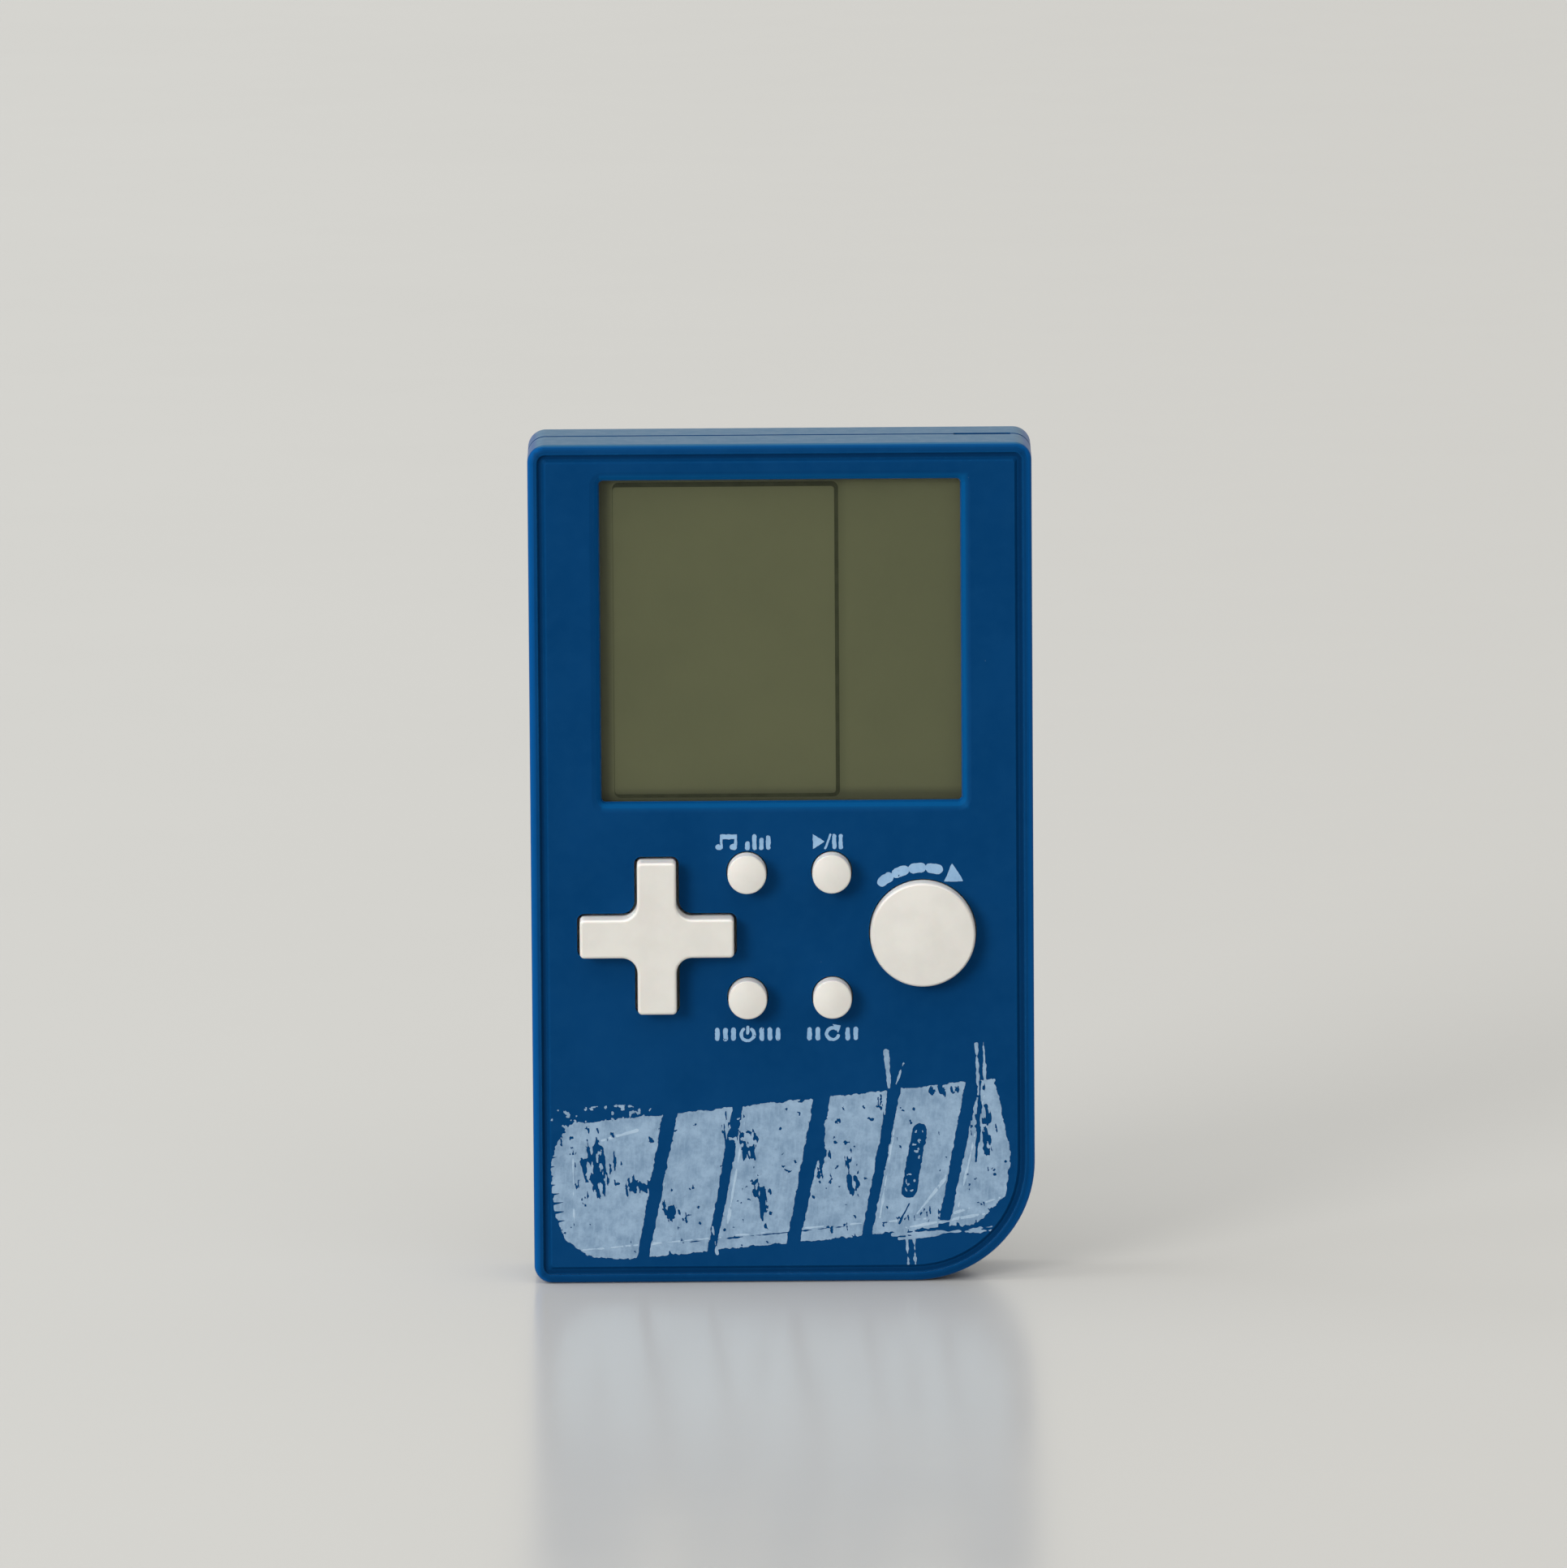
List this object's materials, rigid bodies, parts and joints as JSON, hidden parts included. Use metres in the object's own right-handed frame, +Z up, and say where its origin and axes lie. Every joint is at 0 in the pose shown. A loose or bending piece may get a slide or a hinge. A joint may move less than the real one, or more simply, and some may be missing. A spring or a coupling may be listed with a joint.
{
  "type": "handheld lcd game",
  "caption": "Slim handheld LCD game: recessed screen, rocking cross key, round push keys and a hinged battery door at the back.",
  "frame": {"origin": "centre of the flat bottom rest face, at the middle of the case's width and thickness", "axes": "+Z up along the height, +X to the right seen from the front, +Y to the back; the screen faces -Y"},
  "size_m": [0.062, 0.0168, 0.105],
  "materials": {
    "case_blue": "satin moulded plastic",
    "key_ivory": "satin, slightly worn",
    "lens": "clear, polished",
    "tape": "black double-sided tape",
    "holder": "moulded",
    "polarizer": "olive film",
    "display_glass": "clear",
    "reflector": "reflective film",
    "zebra": "layered elastomer",
    "board": "solder mask",
    "epoxy": "cured drop",
    "capacitor_sleeve": "shrink sleeve",
    "capacitor_disc": "dipped",
    "resistor": "lacquered",
    "pivot": "smooth",
    "silicone": "translucent silicone",
    "carbon": "conductive",
    "buzzer_brass": "rolled",
    "buzzer_ceramic": "fired",
    "cell": "printed wrap",
    "contact": "nickel plated",
    "wire_red": "insulation",
    "wire_black": "insulation",
    "screw": "zinc plated",
    "print_ink": "worn screen-printed ink"
  },
  "bodies": {
    "case": {"front_shell": "case_blue", "rear_shell": "case_blue", "screen_lens": "lens", "lens_tape": "tape", "lcd_frame": "holder", "lcd_front_polarizer": "polarizer", "lcd_front_glass": "display_glass", "lcd_rear_glass": "display_glass", "lcd_reflector": "reflector", "zebra_strip": "zebra", "main_board": "board", "chip_blob": "epoxy", "electrolytic_capacitor": "capacitor_sleeve", "ceramic_capacitors": "capacitor_disc", "resistors": "resistor", "cross_rubber": "silicone", "rotate_rubber": "silicone", "upper_key_rubber": "silicone", "lower_key_rubber": "silicone", "carbon_pills": "carbon", "buzzer_disc": "buzzer_brass", "buzzer_ceramic": "buzzer_ceramic", "cell_upper": "cell", "cell_lower": "cell", "contact_positive": "contact", "contact_negative": "contact", "contact_bridge": "contact", "wire_battery_red": "wire_red", "wire_buzzer_red": "wire_red", "wire_battery_black": "wire_black", "wire_buzzer_black": "wire_black", "case_screws": "screw", "board_screws": "screw"},
    "cross_rocker": {"cross_pivot_ball": "pivot"},
    "cross": {"cross_key": "key_ivory"},
    "rotate_key": {"rotate_button": "key_ivory"},
    "music_key": {"music_button": "key_ivory"},
    "start_key": {"start_button": "key_ivory"},
    "power_key": {"power_button": "key_ivory"},
    "reset_key": {"reset_button": "key_ivory"},
    "door": {"battery_door": "case_blue"}
  },
  "joints": [
    {"name": "cross_up_down", "type": "hinge", "parent": "case", "child": "cross_rocker", "pos_m": [-0.0155, -0.00375, 0.0438], "axis": [1, 0, 0], "range_deg": [-3.5, 3.5], "stiffness_Nm_per_rad": 0.004, "deforming": ["cross_rubber"]},
    {"name": "cross_left_right", "type": "hinge", "parent": "cross_rocker", "child": "cross", "pos_m": [-0.0155, -0.00375, 0.0438], "axis": [0, 0, 1], "range_deg": [-3.5, 3.5], "stiffness_Nm_per_rad": 0.004, "deforming": ["cross_rubber"]},
    {"name": "rotate_press", "type": "slide", "parent": "case", "child": "rotate_key", "axis": [0, 1, 0], "range_m": [0, 0.0008], "stiffness_N_per_m": 30, "deforming": ["rotate_rubber"]},
    {"name": "music_press", "type": "slide", "parent": "case", "child": "music_key", "axis": [0, 1, 0], "range_m": [0, 0.0008], "stiffness_N_per_m": 30, "deforming": ["upper_key_rubber"]},
    {"name": "start_press", "type": "slide", "parent": "case", "child": "start_key", "axis": [0, 1, 0], "range_m": [0, 0.0008], "stiffness_N_per_m": 30, "deforming": ["upper_key_rubber"]},
    {"name": "power_press", "type": "slide", "parent": "case", "child": "power_key", "axis": [0, 1, 0], "range_m": [0, 0.0008], "stiffness_N_per_m": 30, "deforming": ["lower_key_rubber"]},
    {"name": "reset_press", "type": "slide", "parent": "case", "child": "reset_key", "axis": [0, 1, 0], "range_m": [0, 0.0008], "stiffness_N_per_m": 30, "deforming": ["lower_key_rubber"]},
    {"name": "door_open", "type": "hinge", "parent": "case", "child": "door", "pos_m": [0, 0.00595, 0.0041], "axis": [-1, 0, 0], "range_deg": [0, 90]}
  ]
}
